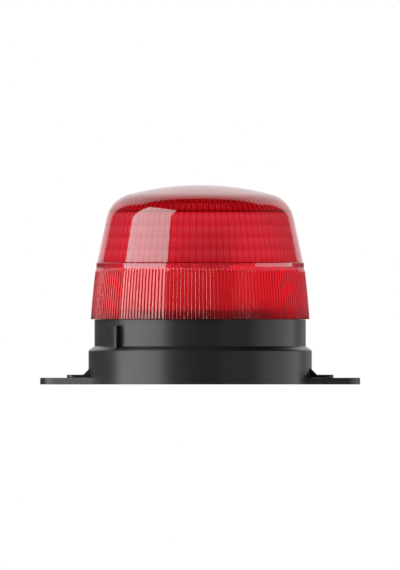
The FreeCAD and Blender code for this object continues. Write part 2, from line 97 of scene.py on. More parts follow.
def startMaterial(name, **fixed):
    material = bpy.data.materials.new(name)
    material.use_nodes = True
    shader = material.node_tree.nodes["Principled BSDF"]
    for key, value in fixed.items():
        shader.inputs[key].default_value = value
    wire = Wire(material.node_tree)
    place = wire.add("ShaderNodeTexCoord", {}, {}, "Object")
    return material, shader, wire, place


def feed(shader, key, wire):
    wire.tree.links.new(wire.socket, shader.inputs[key])


def noise(place, scale, detail=2.0, stretch=None):
    if stretch:
        place = place.add("ShaderNodeMapping", {}, {"Vector": place, "Scale": stretch})
    return place.add("ShaderNodeTexNoise", {}, {"Vector": place, "Scale": scale, "Detail": detail})


def blendColours(factor, first, second):
    colours = {0: factor, 6: (*first, 1.0), 7: (*second, 1.0)}
    return factor.add("ShaderNodeMix", {"data_type": "RGBA"}, colours, 2)


def bump(height, strength, distance):
    return height.add("ShaderNodeBump", {}, {"Strength": strength, "Distance": distance, "Height": height})


# Moulded, coated or drawn finish: two close colours, uneven gloss and a fine grain
def makeFinish(name, look):
    material, shader, wire, place = startMaterial(name, **look.get("fixed", {}))
    tone = noise(place, look["toneScale"], 3.0, look.get("stretch"))
    grain = noise(place, look["grainScale"], 2.0, look.get("stretch"))
    feed(shader, "Base Color", blendColours(tone, look["dark"], look["light"]))
    feed(shader, "Roughness", look["gloss"] + (grain - 0.5) * look["glossSpread"])
    feed(shader, "Normal", bump(grain, look["grainStrength"], look["grainDepth"]))
    return material


finishes = {
    "housing_black": dict(dark=(0.011, 0.011, 0.0115), light=(0.016, 0.016, 0.0165), toneScale=60, gloss=0.3,
                          glossSpread=0.1, grainScale=2600, grainStrength=0.12, grainDepth=0.05 * mm,
                          fixed={"Specular IOR Level": 0.25}),
    "seal_rubber": dict(dark=(0.012, 0.012, 0.012), light=(0.024, 0.023, 0.022), toneScale=150, gloss=0.72,
                        glossSpread=0.15, grainScale=1800, grainStrength=0.3, grainDepth=0.05 * mm),
    "screw_steel": dict(dark=(0.5, 0.5, 0.52), light=(0.66, 0.67, 0.7), toneScale=500, gloss=0.3,
                        glossSpread=0.15, grainScale=2500, grainStrength=0.15, grainDepth=0.03 * mm,
                        fixed={"Metallic": 1.0}),
    "terminal_green": dict(dark=(0.06, 0.26, 0.1), light=(0.09, 0.33, 0.13), toneScale=200, gloss=0.42,
                           glossSpread=0.12, grainScale=2400, grainStrength=0.15, grainDepth=0.04 * mm),
    "clamp_brass": dict(dark=(0.58, 0.43, 0.19), light=(0.72, 0.56, 0.28), toneScale=600, gloss=0.32,
                        glossSpread=0.2, grainScale=2000, grainStrength=0.2, grainDepth=0.03 * mm,
                        fixed={"Metallic": 1.0}),
    "sleeve_black": dict(dark=(0.02, 0.02, 0.045), light=(0.035, 0.035, 0.07), toneScale=120, gloss=0.25,
                         glossSpread=0.1, grainScale=900, grainStrength=0.2, grainDepth=0.05 * mm),
    "ferrite": dict(dark=(0.05, 0.05, 0.052), light=(0.1, 0.098, 0.095), toneScale=700, gloss=0.55,
                    glossSpread=0.25, grainScale=2200, grainStrength=0.4, grainDepth=0.06 * mm),
    "copper": dict(dark=(0.45, 0.17, 0.07), light=(0.66, 0.29, 0.13), toneScale=300, gloss=0.3,
                   glossSpread=0.15, grainScale=500, grainStrength=0.5, grainDepth=0.15 * mm,
                   stretch=(0.05, 0.05, 4.0), fixed={"Metallic": 0.8}),
    "varistor_blue": dict(dark=(0.03, 0.1, 0.36), light=(0.05, 0.15, 0.46), toneScale=300, gloss=0.3,
                          glossSpread=0.2, grainScale=700, grainStrength=0.35, grainDepth=0.08 * mm),
    "package_black": dict(dark=(0.025, 0.025, 0.026), light=(0.045, 0.045, 0.044), toneScale=500, gloss=0.5,
                          glossSpread=0.2, grainScale=3000, grainStrength=0.3, grainDepth=0.04 * mm),
    "connector_ivory": dict(dark=(0.72, 0.68, 0.56), light=(0.8, 0.77, 0.66), toneScale=200, gloss=0.38,
                            glossSpread=0.1, grainScale=2200, grainStrength=0.12, grainDepth=0.04 * mm),
    "wire_grey": dict(dark=(0.28, 0.28, 0.3), light=(0.36, 0.36, 0.38), toneScale=260, gloss=0.45,
                      glossSpread=0.15, grainScale=1400, grainStrength=0.2, grainDepth=0.05 * mm,
                      stretch=(1.0, 1.0, 0.15)),
    "deck_white": dict(dark=(0.76, 0.76, 0.74), light=(0.83, 0.83, 0.81), toneScale=90, gloss=0.45,
                       glossSpread=0.12, grainScale=2400, grainStrength=0.15, grainDepth=0.05 * mm),
    "column_aluminium": dict(dark=(0.6, 0.6, 0.62), light=(0.76, 0.76, 0.78), toneScale=900, gloss=0.36,
                             glossSpread=0.2, grainScale=2600, grainStrength=0.3, grainDepth=0.04 * mm,
                             stretch=(1.0, 1.0, 0.03), fixed={"Metallic": 1.0}),
    "strip_white": dict(dark=(0.74, 0.75, 0.73), light=(0.84, 0.84, 0.82), toneScale=500, gloss=0.4,
                        glossSpread=0.15, grainScale=2000, grainStrength=0.15, grainDepth=0.03 * mm),
    "led_clear": dict(dark=(0.75, 0.66, 0.28), light=(0.88, 0.8, 0.42), toneScale=800, gloss=0.18,
                      glossSpread=0.1, grainScale=2400, grainStrength=0.1, grainDepth=0.03 * mm),
}


# Clear red moulding: the colour comes from light that passes both walls
clearRed = dict(deep=(0.97, 0.11, 0.165), pale=(1.0, 0.13, 0.185))
lensLooks = {
    "lens_red": dict(clearRed, gloss=0.03, sheen=(0.85, 1, 1, 1)),
    "lens_shell": dict(gloss=0.03, deep=(0.97, 0.15, 0.23), pale=(1.0, 0.17, 0.25), sheen=(0.1, 1, 1, 1)),
    "lens_inner": dict(clearRed, gloss=0.4, ior=1.33),
    "lens_foot": dict(clearRed, gloss=0.4, ior=1.33, through=0.75),
    "lens_joint": dict(gloss=0.1, ior=1.04, deep=(1.0, 0.8, 0.82), pale=(1.0, 0.85, 0.87)),
    # painted shade: the inner pillow faces carry the painted row shade set out below
    "lens_optic": dict(gloss=0.6, ior=1.33, through=0.8, deep=(0.85, 0.03, 0.05), pale=(1.0, 0.46, 0.54), rows=True),
    # painted shade: a deeper red strip along one edge of each pillow column, where the pillow lines look dark
    "lens_shade_line": dict(gloss=0.6, ior=1.33, through=0.8, deep=(0.62, 0.01, 0.02), pale=(0.76, 0.07, 0.11), rows=True),
    "lens_seam": dict(gloss=0.1, ior=1.33, deep=(0.3, 0.006, 0.012), pale=(0.36, 0.01, 0.02)),
    "lens_flank": dict(clearRed, gloss=0.2, ior=1.56),
    # painted shade: the steep groove walls are painted deeper red, for the dark stripes the grooves show
    "lens_groove_shade": dict(gloss=0.2, ior=1.33, deep=(0.55, 0.008, 0.016), pale=(0.6, 0.012, 0.022)),
    # painted shade: the crown is painted deeper red outside (cap) and inside (ribs and top), with lighter windows
    # between the ribs, for the dark ribbed band under the crown
    "lens_cap": dict(gloss=0.03, deep=(0.6, 0.02, 0.035), pale=(0.66, 0.03, 0.045)),
    "lens_window": dict(gloss=0.2, deep=(0.92, 0.07, 0.1), pale=(0.96, 0.09, 0.12)),
    "lens_crown_shade": dict(gloss=0.15, deep=(0.26, 0.002, 0.003), pale=(0.3, 0.003, 0.005)),
    "lens_top": dict(gloss=0.2, deep=(0.5, 0.004, 0.008), pale=(0.56, 0.006, 0.012)),
}
# Painted shade on the pillows: each row is painted palest near its top and darker towards its foot, in place of the
# light the pillows bend
paintedRowShade = dict(low=67.9, pitch=6.67, crest=0.72, share=0.8)


def makeLensRed(name, look):
    fixed = {"Transmission Weight": look.get("through", 1.0), "IOR": look.get("ior", 1.52),
             "Specular Tint": look.get("sheen", (1, 1, 1, 1))}
    material, shader, wire, place = startMaterial(name, **fixed)
    tone = noise(place, 40, 3.0)                 # faint flow of the moulding
    # painted shade: a saw-tooth up each pillow row, light at its top and dark at its foot
    if look.get("rows"):
        crest, share = paintedRowShade["crest"], paintedRowShade["share"]
        z = wire.add("ShaderNodeSeparateXYZ", {}, {0: place}, "Z")
        climb = wire.maths("FRACT", (z / mm - paintedRowShade["low"]) / paintedRowShade["pitch"], 0.0)
        tone = wire.maths("MINIMUM", climb / crest, (1.0 - climb) / (1.0 - crest)) * share + tone * (1.0 - share)
    skin = noise(place, 900)
    feed(shader, "Base Color", blendColours(tone, look["deep"], look["pale"]))
    feed(shader, "Roughness", look["gloss"] + (skin - 0.5) * 0.03)
    feed(shader, "Normal", bump(skin, 0.04, 0.02 * mm))
    return material


# Green solder mask over copper tracks
def makeBoardGreen():
    look = dict(bare=(0.012, 0.1, 0.035), track=(0.03, 0.19, 0.07), cell=260, gap=0.014, brickShare=0.3, limit=0.42)
    material, shader, wire, place = startMaterial("board_green", **{"Coat Weight": 0.3, "Coat Roughness": 0.2})
    cells = place.add("ShaderNodeTexVoronoi", {"feature": "F1", "distance": "CHEBYCHEV"},
                      {"Vector": place, "Scale": look["cell"], "Randomness": 0.4})
    bricks = place.add("ShaderNodeTexBrick", {"offset": 0.5},
                       {"Vector": place, "Scale": look["cell"], "Mortar Size": look["gap"]}, "Fac")
    tracks = wire.maths("GREATER_THAN", cells + bricks * look["brickShare"], look["limit"])
    grain = noise(place, 2400)
    feed(shader, "Base Color", blendColours(tracks, look["bare"], look["track"]))
    feed(shader, "Roughness", 0.35 + grain * 0.12)
    feed(shader, "Normal", bump(tracks + grain * 0.2, 0.3, 0.04 * mm))
    return material


materials = {name: makeFinish(name, look) for name, look in finishes.items()}
materials.update({name: makeLensRed(name, look) for name, look in lensLooks.items()})
materials["board_green"] = makeBoardGreen()
for subpart in frame["record"]["subparts"]:
    node = frame["nodes"][subpart["node"]]
    node.data.materials.clear()
    node.data.materials.append(materials[subpart["material_slot"]])
print("materials:", len(materials))


def closeUp(bm):
    bmesh.ops.remove_doubles(bm, verts=bm.verts, dist=0.001 * mm)
    bmesh.ops.recalc_face_normals(bm, faces=bm.faces)


def chain(bm, points):
    verts = [bm.verts.new((r * mm, 0, z * mm)) for r, z in points]
    edges = [bm.edges.new(pair) for pair in zip(verts, verts[1:])]
    return verts + edges


def spinRound(bm, points, steps):
    before = set(bm.verts)
    bmesh.ops.spin(bm, geom=chain(bm, points), cent=(0, 0, 0), axis=(0, 0, 1), angle=math.tau,
                   steps=steps, use_merge=True)
    return [vert for vert in bm.verts if vert not in before]


def sector(bm, innerR, outerR, lowZ, highZ, startAngle, sweep, steps):
    corners = [(innerR, lowZ), (outerR, lowZ), (outerR, highZ), (innerR, highZ)]
    verts = [bm.verts.new((r * mm, 0, z * mm)) for r, z in corners]
    bmesh.ops.rotate(bm, verts=verts, cent=(0, 0, 0), matrix=Matrix.Rotation(math.radians(startAngle), 3, "Z"))
    face = bm.faces.new(verts)
    bmesh.ops.spin(bm, geom=[face] + list(face.edges) + verts, cent=(0, 0, 0), axis=(0, 0, 1),
                   angle=math.radians(sweep), steps=steps)


def softenEdges(bm, size, least, segments=2):
    sharp = [edge for edge in bm.edges
             if edge.is_manifold and edge.calc_face_angle(0.0) > math.radians(least)]
    bmesh.ops.bevel(bm, geom=sharp, offset=size * mm, offset_type="OFFSET", affect="EDGES", segments=segments,
                    profile=0.5, material=-1, clamp_overlap=True)


def merge(target, source):
    mesh = bpy.data.meshes.new("part")
    source.to_mesh(mesh)
    source.free()
    target.from_mesh(mesh)
    bpy.data.meshes.remove(mesh)


def turnRound(bm, degrees):
    bmesh.ops.rotate(bm, verts=bm.verts, cent=(0, 0, 0), matrix=Matrix.Rotation(math.radians(degrees), 3, "Z"))


# One finished piece: mesh, looks, shading, the body it rides on and the nodes it stands in for
def keep(bm, name, body, slot, smoothAngle, nodes, looks=()):
    mesh = bpy.data.meshes.new(name)
    bm.to_mesh(mesh)
    bm.free()
    for look in looks or [slot]:
        mesh.materials.append(materials[look])
    mesh.shade_smooth()
    mesh.set_sharp_from_angle(angle=math.radians(smoothAngle))
    piece = bpy.data.objects.new(name, mesh)
    bpy.context.scene.collection.objects.link(piece)
    even = piece.modifiers.new("even_normals", "WEIGHTED_NORMAL")
    even.keep_sharp = True
    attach(piece, body)
    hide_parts(*nodes)
    print(name, len(mesh.polygons), "faces")


base = dict(drumR=61.4, drumTop=18.8, drumEdge=0.4, collarR=58.1, collarFoot=21.0, collarTop=35.7,
            spigotR=52.6, cupR=50.0, spigotTop=40.5, floorTop=3.0, wall=2.6, pocketTop=32.0,
            sealIn=55.6, sealOut=57.2, sealLow=34.1, gasketIn=46.1, gasketOut=49.1, gasketTop=1.0,
            floorR=45.0, entryY=30.0, entryR=6.5, entryFlangeR=9.1, entryFlangeTop=1.5, steps=240,
            ribCount=12, ribT=1.8, ribLow=0.2, ribLap=1.0, lap=0.5, edge=0.2)
ear = dict(holeX=76.5, holeR=2.75, endR=11.5, lean=20.0, top=3.7, rootR=60.0, padX=73.3, padHalf=11.5,
           padTop=5.4, padCornerR=4.3, spotR=6.0, padCentre=66.0, gussetSpan=21.4, gussetT=2.4, gussetRun=2.9,
           edge=0.35)
key = dict(angle=219.8, width=3.0, low=19.5, high=32.4, innerR=56.5, edge=0.35)
bayonet = dict(count=4, ledgeAngle=20.0, ledgeR=54.9, ledgeLow=37.95, stopAngle=2.5, stopStart=-11.5, stopLap=0.1,
               stopDrop=0.01, lugAngle=16.0, lugInR=52.9, lugOutR=56.3, lugTop=37.65, innerR=51.3)
posts = dict(deckR=3.6, deckRing=42.0, deckAngles=(30, 150, 270), boardR=3.2, boardRing=36.0, boardTop=9.0,
             boardAngles=(55, 125, 200, 340))


def circle(bm, radius, z, x=0.0, y=0.0, count=240):
    made = bmesh.ops.create_circle(bm, radius=radius * mm, segments=count,
                                   matrix=Matrix.Translation((x * mm, y * mm, z * mm)))
    return list({edge for vert in made["verts"] for edge in vert.link_edges})


def makeShell():
    bm = bmesh.new()
    rim = base["drumTop"] + base["drumEdge"] * 2 / 3
    spinRound(bm, [
        (base["floorR"], base["floorTop"]),
        (base["cupR"], base["floorTop"]),
        (base["cupR"], base["spigotTop"]),
        (base["spigotR"], base["spigotTop"]),
        (base["spigotR"], base["collarTop"]),
        (base["sealIn"], base["collarTop"]),
        (base["sealIn"], base["sealLow"]),
        (base["sealOut"], base["sealLow"]),
        (base["sealOut"], base["collarTop"]),
        (base["collarR"], base["collarTop"]),
        (base["collarR"], base["collarFoot"]),
        (base["drumR"] - base["drumEdge"], rim),
        (base["drumR"], base["drumTop"] - base["drumEdge"]),
        (base["drumR"], 0),
        (base["drumR"] - base["wall"], 0),
        (base["drumR"] - base["wall"], base["drumTop"] - base["wall"]),
        (base["collarR"] - base["wall"], base["collarFoot"] - base["wall"]),
        (base["collarR"] - base["wall"], base["pocketTop"]),
        (base["spigotR"], base["pocketTop"]),
        (base["spigotR"], 0),
        (base["gasketOut"], 0),
        (base["gasketOut"], base["gasketTop"]),
        (base["gasketIn"], base["gasketTop"]),
        (base["gasketIn"], 0),
        (base["floorR"], 0),
    ], base["steps"])
    y = base["entryY"]
    loops = [
        circle(bm, base["floorR"], 0),
        circle(bm, base["entryFlangeR"], 0, 0, y),
        circle(bm, base["entryFlangeR"], base["entryFlangeTop"], 0, y),
        circle(bm, base["entryR"], base["entryFlangeTop"], 0, y),
        circle(bm, base["entryR"], base["floorTop"], 0, y),
        circle(bm, base["floorR"], base["floorTop"]),
    ]
    for lower, upper in zip(loops, loops[1:]):
        bmesh.ops.bridge_loops(bm, edges=lower + upper)
    closeUp(bm)
    softenEdges(bm, base["edge"], 25)
    return bm


# Outline of an ear seen from its hole: round end, leaning sides, root inside the drum's wall
def earReach(angle):
    lean = math.radians(90 - ear["lean"])
    turn = abs(angle)
    reach = ear["endR"]
    if turn > lean:
        reach = ear["endR"] / max(math.cos(turn - lean), 0.05)
    along = ear["holeX"] * math.cos(angle)
    inside = along ** 2 - ear["holeX"] ** 2 + ear["rootR"] ** 2
    if along < 0 < inside:
        reach = min(reach, -along - math.sqrt(inside))
    return reach


# Outline of the pad seen from its middle: straight sides, round corners, room for the screw head
def padReach(angle):
    x, y = math.cos(angle), abs(math.sin(angle))
    fromHole = ear["padCentre"] - ear["holeX"]
    reach = ear["padHalf"] / max(y, 0.01)
    if x > 0:
        reach = min(reach, (ear["padX"] - ear["padCentre"]) / x)
        inside = (fromHole * x) ** 2 - fromHole ** 2 + ear["spotR"] ** 2
        if inside > 0:
            reach = min(reach, -fromHole * x - math.sqrt(inside))
    cornerX = ear["padX"] - ear["padCornerR"] - ear["padCentre"]
    cornerY = ear["padHalf"] - ear["padCornerR"]
    if reach * x > cornerX and reach * y > cornerY:
        along = cornerX * x + cornerY * y
        reach = along + math.sqrt(along ** 2 - cornerX ** 2 - cornerY ** 2 + ear["padCornerR"] ** 2)
    along = ear["padCentre"] * x
    inside = along ** 2 - ear["padCentre"] ** 2 + ear["rootR"] ** 2
    if along < 0 < inside:
        reach = min(reach, -along - math.sqrt(inside))
    return reach


def outline(bm, reachAt, centreX, count, fill):
    made = bmesh.ops.create_circle(bm, cap_ends=fill, radius=1.0, segments=count)["verts"]
    for vert in made:
        angle = math.atan2(vert.co.y, vert.co.x)
        reach = reachAt(angle)
        vert.co = ((centreX + reach * math.cos(angle)) * mm, reach * math.sin(angle) * mm, 0)


def thicken(bm, way):
    grown = bmesh.ops.extrude_face_region(bm, geom=list(bm.faces))["geom"]
    verts = [item for item in grown if isinstance(item, bmesh.types.BMVert)]
    bmesh.ops.translate(bm, verts=verts, vec=Vector(way) * mm)


def makeEar():
    plate = bmesh.new()
    outline(plate, earReach, ear["holeX"], 96, False)
    circle(plate, ear["holeR"], 0, ear["holeX"], 0, 96)
    bmesh.ops.bridge_loops(plate, edges=plate.edges)
    thicken(plate, (0, 0, ear["top"]))
    closeUp(plate)
    softenEdges(plate, ear["edge"], 40)

    pad = bmesh.new()
    outline(pad, padReach, ear["padCentre"], 180, True)
    padFoot = ear["top"] - ear["edge"]           # above the plate's upright sides
    thicken(pad, (0, 0, ear["padTop"] - padFoot))
    bmesh.ops.translate(pad, verts=pad.verts, vec=(0, 0, padFoot * mm))
    closeUp(pad)
    softenEdges(pad, ear["edge"], 40)
    merge(plate, pad)

    toe = base["drumR"] + ear["gussetRun"]
    heel = base["collarR"] - base["wall"] / 2
    for side in (-1, 1):
        gusset = bmesh.new()
        y = side * ear["gussetSpan"] / 2
        corners = [(toe, ear["padTop"]), (heel, ear["padTop"] + toe - heel), (heel, ear["padTop"])]
        gusset.faces.new([gusset.verts.new((x * mm, y * mm, z * mm)) for x, z in corners])
        thicken(gusset, (0, -side * ear["gussetT"], 0))
        closeUp(gusset)
        softenEdges(gusset, base["edge"], 40)
        merge(plate, gusset)
    return plate


def block(low, high, edge, turn):
    bm = bmesh.new()
    bmesh.ops.create_cube(bm, size=1.0)
    middle = [(a + b) / 2 * mm for a, b in zip(low, high)]
    size = [(b - a) * mm for a, b in zip(low, high)]
    bmesh.ops.scale(bm, vec=size, verts=bm.verts)
    bmesh.ops.translate(bm, vec=middle, verts=bm.verts)
    softenEdges(bm, edge, 40)
    turnRound(bm, turn)
    return bm


def post(radius, low, high, ringR, angle):
    bm = bmesh.new()
    centre = Matrix.Rotation(math.radians(angle), 4, "Z") @ Matrix.Translation((ringR * mm, 0, (low + high) / 2 * mm))
    bmesh.ops.create_cone(bm, cap_ends=True, segments=32, radius1=radius * mm, radius2=radius * mm,
                          depth=(high - low) * mm, matrix=centre)
    softenEdges(bm, base["edge"], 60)
    return bm


def makeLedges():
    bm = bmesh.new()
    for index in range(bayonet["count"]):
        turn = index * 360 / bayonet["count"]
        sector(bm, bayonet["innerR"], bayonet["ledgeR"], bayonet["ledgeLow"], base["spigotTop"],
               turn - bayonet["ledgeAngle"] / 2, bayonet["ledgeAngle"], 12)
        sector(bm, bayonet["innerR"], bayonet["ledgeR"], base["collarTop"] - bayonet["stopLap"],
               base["spigotTop"] - bayonet["stopDrop"], turn + bayonet["stopStart"], bayonet["stopAngle"], 4)
    bmesh.ops.recalc_face_normals(bm, faces=bm.faces)
    return bm


def makeBase():
    whole = makeShell()
    for turn in (0, 180):
        piece = makeEar()
        turnRound(piece, turn)
        merge(whole, piece)
    half = key["width"] / 2
    merge(whole, block((key["innerR"], -half, key["low"]), (base["drumR"], half, key["high"]),
                       key["edge"], key["angle"]))
    lap = base["lap"]                            # how far ribs and posts reach into the walls
    half = base["ribT"] / 2
    shelf = base["drumTop"] - base["wall"]
    ribs = [(base["drumR"], base["ribLow"], shelf), (base["collarR"], shelf - base["ribLap"], base["pocketTop"] + lap)]
    for index in range(base["ribCount"]):
        turn = (index + 0.5) * 360 / base["ribCount"]
        for wallR, low, high in ribs:
            merge(whole, block((base["spigotR"] - lap, -half, low), (wallR - base["wall"] + lap, half, high),
                               base["edge"], turn))
    merge(whole, makeLedges())
    for angle in posts["deckAngles"]:
        merge(whole, post(posts["deckR"], base["floorTop"] - lap, base["spigotTop"], posts["deckRing"], angle))
    for angle in posts["boardAngles"]:
        merge(whole, post(posts["boardR"], base["floorTop"] - lap, posts["boardTop"], posts["boardRing"], angle))
    keep(whole, "base_moulding", "base", "housing_black", 35, ["base_housing"])


band = dict(rimR=60.2, rimZ=35.85, rimEdge=0.25, height=31.35, taper=3.12, swell=0.2, ringR=57.08, ringDrop=2.4,
            ringBlend=3.0, ringEdge=0.45, ringEdgeIn=0.36, reeds=180, stepsPerReed=6, land=0.225, flank=0.31,
            flankSlope=27.0, wallSlope=50.0, fadeDrop=3.2, fade=1.0, depth=2.2, skin=0.5, flangeR=55.2,
            seatDrop=1.5, seatR=55.98, footTop=41.0, innerSteps=7)
bandLooks = ["lens_red", "lens_inner", "lens_flank", "lens_groove_shade", "lens_joint", "lens_shell", "lens_foot",
             "lens_seam"]
bandTop = band["rimZ"] + band["height"]
ringLow = bandTop - band["ringDrop"]
seatLow = bandTop - band["seatDrop"]
fadeHigh = bandTop - band["fadeDrop"]
fadeLow = fadeHigh - band["fade"]
near = 0.1                                       # a face this near to a limit belongs to it


# Outer skin: a slightly swollen cone that runs into an upright ring below the seam
def bandRadius(z):
    share = (z - band["rimZ"]) / band["height"]
    cone = band["rimR"] - band["taper"] * share + band["swell"] * 4 * share * (1 - share)
    blend = min(max((z - ringLow) / band["ringBlend"] + 1, 0.0), 1.0)
    blend = blend * blend * (3 - 2 * blend)
    return cone + (band["ringR"] - cone) * blend


def bandProfile():
    blendLow = ringLow - band["ringBlend"]
    levels = []
    for start, stop, count in ((band["rimZ"] + band["rimEdge"], blendLow, 8), (blendLow, fadeLow, 4),
                               (fadeLow, fadeHigh, 4), (fadeHigh, ringLow, 3)):
        levels += [start + (stop - start) * i / count for i in range(count)]
    levels.append(ringLow)
    rim = (band["rimR"] - band["rimEdge"], band["rimZ"])
    points = [rim] + [(bandRadius(z), z) for z in levels]
    points += [(band["ringR"], bandTop - band["ringEdge"]), (band["ringR"] - band["ringEdgeIn"], bandTop)]
    points += [(band["seatR"], bandTop), (band["seatR"], seatLow)]
    steps = band["innerSteps"]
    levels = [seatLow + (band["footTop"] - seatLow) * i / steps for i in range(steps + 1)] + [bayonet["lugTop"]]
    points += [(bandRadius(z) - band["depth"], z) for z in levels]
    return points + [(band["flangeR"], bayonet["lugTop"]), (band["flangeR"], band["rimZ"]), rim]


# Flat lands, sloped flanks and steep grooves between them, which run out below the ring
def cutReeds(bm):
    pitch = math.tau / band["reeds"]
    steps = band["stepsPerReed"]
    flankFall = (band["flank"] - band["land"]) * math.tan(math.radians(band["flankSlope"]))
    wallFall = (0.5 - band["flank"]) * math.tan(math.radians(band["wallSlope"]))
    shares = [0.0, band["land"], band["flank"], 0.5, 1 - band["flank"], 1 - band["land"]]
    falls = [0.0, 0.0, flankFall, flankFall + wallFall, flankFall, 0.0]
    for vert in bm.verts:
        z = vert.co.z / mm
        r = math.hypot(vert.co.x, vert.co.y) / mm
        if r < bandRadius(z) - band["skin"]:
            continue
        place = round(math.atan2(vert.co.y, vert.co.x) / pitch * steps)
        angle = (place // steps + shares[place % steps]) * pitch
        left = min(max((fadeHigh - z) / band["fade"], 0.0), 1.0)
        r -= falls[place % steps] * left * pitch * r
        vert.co = (r * math.cos(angle) * mm, r * math.sin(angle) * mm, vert.co.z)


def bandLook(centre):
    r = math.hypot(centre.x, centre.y)
    if centre.z > seatLow - near and r < band["seatR"] + near:
        return "lens_joint"
    if r < bandRadius(centre.z) - band["depth"] + 2 * near:
        return "lens_inner" if centre.z > band["footTop"] else "lens_foot"
    if centre.z > fadeHigh:
        return "lens_shell" if centre.z < bandTop - band["ringEdge"] else "lens_seam"
    turn = math.atan2(centre.y, centre.x) / math.tau * band["reeds"]
    offCentre = 0.5 - abs(turn - math.floor(turn) - 0.5)
    if offCentre < band["land"]:
        return "lens_red"
    # painted shade: the groove walls below the run-out take the darker groove look
    return "lens_groove_shade" if offCentre >= band["flank"] and centre.z < fadeLow else "lens_flank"


def makeBand():
    bm = bmesh.new()
    spinRound(bm, bandProfile(), band["reeds"] * band["stepsPerReed"])
    bmesh.ops.remove_doubles(bm, verts=bm.verts, dist=0.001 * mm)
    cutReeds(bm)
    bmesh.ops.recalc_face_normals(bm, faces=bm.faces)
    for face in bm.faces:
        face.material_index = bandLooks.index(bandLook(face.calc_center_median() / mm))
    lugs = bmesh.new()
    for index in range(bayonet["count"]):
        turn = index * 360 / bayonet["count"] - bayonet["lugAngle"] / 2
        sector(lugs, bayonet["lugInR"], bayonet["lugOutR"], band["rimZ"], bayonet["lugTop"],
               turn, bayonet["lugAngle"], 12)
    bmesh.ops.recalc_face_normals(lugs, faces=lugs.faces)
    merge(bm, lugs)
    keep(bm, "reeded_band", "lens", "lens_red", 7, ["lens_band"], bandLooks)


dome = dict(seamZ=67.2, seamR=56.73, seamH=0.3, draft=12.0, apexZ=109.85, crownR=153.0, cornerR=17.2, wall=1.9,
            tongueR=55.88, tongueDrop=1.5, columns=90, stepsPerColumn=6, rows=4, rowH=6.67, rowStart=0.7,
            rowSteps=6, pillow=0.14, pillowAcross=0.65, pillowUp=0.35, shadeLineFrom=0.7, ribTop=99.4, ribFade=2.5,
            ribDepth=0.8, ribShare=0.6, windowLow=96.0)
domeLooks = ["lens_shell", "lens_joint", "lens_cap", "lens_optic", "lens_seam", "lens_shade_line", "lens_window",
             "lens_crown_shade", "lens_top"]
tongueLow = dome["seamZ"] - dome["tongueDrop"]
rowLow = dome["seamZ"] + dome["rowStart"]
rowTop = rowLow + dome["rows"] * dome["rowH"]


# Centres of the rounding between wall and crown, and of the crown
def domeCentres():
    draft = math.radians(dome["draft"])
    outward = Vector((math.cos(draft), math.sin(draft)))
    upward = Vector((-math.sin(draft), math.cos(draft)))
    crownCentre = Vector((0, dome["apexZ"] - dome["crownR"]))
    start = Vector((dome["seamR"], dome["seamZ"])) - outward * dome["cornerR"] - crownCentre
    reach = dome["crownR"] - dome["cornerR"]
    half = start.dot(upward)
    along = -half + math.sqrt(half ** 2 - start.dot(start) + reach ** 2)
    return start + upward * along + crownCentre, crownCentre


corner, crownCentre = domeCentres()


def wallRadius(z, inset):
    draft = math.radians(dome["draft"])
    radius = dome["cornerR"] - inset
    if z > corner.y + radius * math.sin(draft):
        return corner.x + math.sqrt(max(radius ** 2 - (z - corner.y) ** 2, 0.0))
    return dome["seamR"] - (z - dome["seamZ"]) * math.tan(draft) - inset / math.cos(draft)


def domeTop(inset, cornerSteps, crownSteps):
    radius = dome["cornerR"] - inset
    crown = dome["crownR"] - inset
    first = math.asin((rowTop - corner.y) / radius)
    tilt = math.atan2(corner.x, corner.y - crownCentre.y)
    last = math.pi / 2 - tilt
    points = []
    for index in range(cornerSteps + 1):
        angle = first + (last - first) * index / cornerSteps
        points.append((corner.x + radius * math.cos(angle), corner.y + radius * math.sin(angle)))
    for index in range(1, crownSteps + 1):
        angle = tilt * (1 - index / crownSteps)
        points.append((crown * math.sin(angle), crownCentre.y + crown * math.cos(angle)))
    return points


# Place between two pillow lines, from -1 to 1
def acrossColumn(point):
    turn = math.atan2(point.y, point.x) / math.tau * dome["columns"]
    return 2 * (turn - math.floor(turn)) - 1


# Pillows in rows, and upright ribs above them
def raisePillows(verts):
    for vert in verts:
        z = vert.co.z / mm
        r = math.hypot(vert.co.x, vert.co.y) / mm
        if r < 1 or z < rowLow:
            continue
        across = acrossColumn(vert.co)
        if z < rowTop + 0.001:
            climb = (z - rowLow) / dome["rowH"]
            up = 2 * (climb - math.floor(climb)) - 1
            swell = dome["pillow"] * (1 - dome["pillowAcross"] * across ** 2 - dome["pillowUp"] * up ** 2)
        else:
            left = min(max((dome["ribTop"] - z) / dome["ribFade"] + 1, 0.0), 1.0)
            swell = dome["ribDepth"] * left * (abs(across) > dome["ribShare"])
        vert.co.x *= (r - swell) / r
        vert.co.y *= (r - swell) / r


def domeLook(centre, isInner):
    if not isInner:
        if centre.z < dome["seamZ"]:
            return "lens_joint"
        if centre.z < dome["seamZ"] + dome["seamH"]:
            return "lens_seam"
        # painted shade: the outer skin above the pillows takes the darker cap look
        return "lens_shell" if centre.z < rowTop else "lens_cap"
    across = acrossColumn(centre)
    if centre.z < rowTop:
        # painted shade: faces near one edge of each column take the darker line look
        return "lens_shade_line" if across > dome["shadeLineFrom"] else "lens_optic"
    # painted shade: rib faces and the top are painted dark, the windows between the ribs lighter
    if centre.z < dome["ribTop"]:
        return "lens_window" if abs(across) < dome["ribShare"] and centre.z > dome["windowLow"] else "lens_crown_shade"
    return "lens_top"


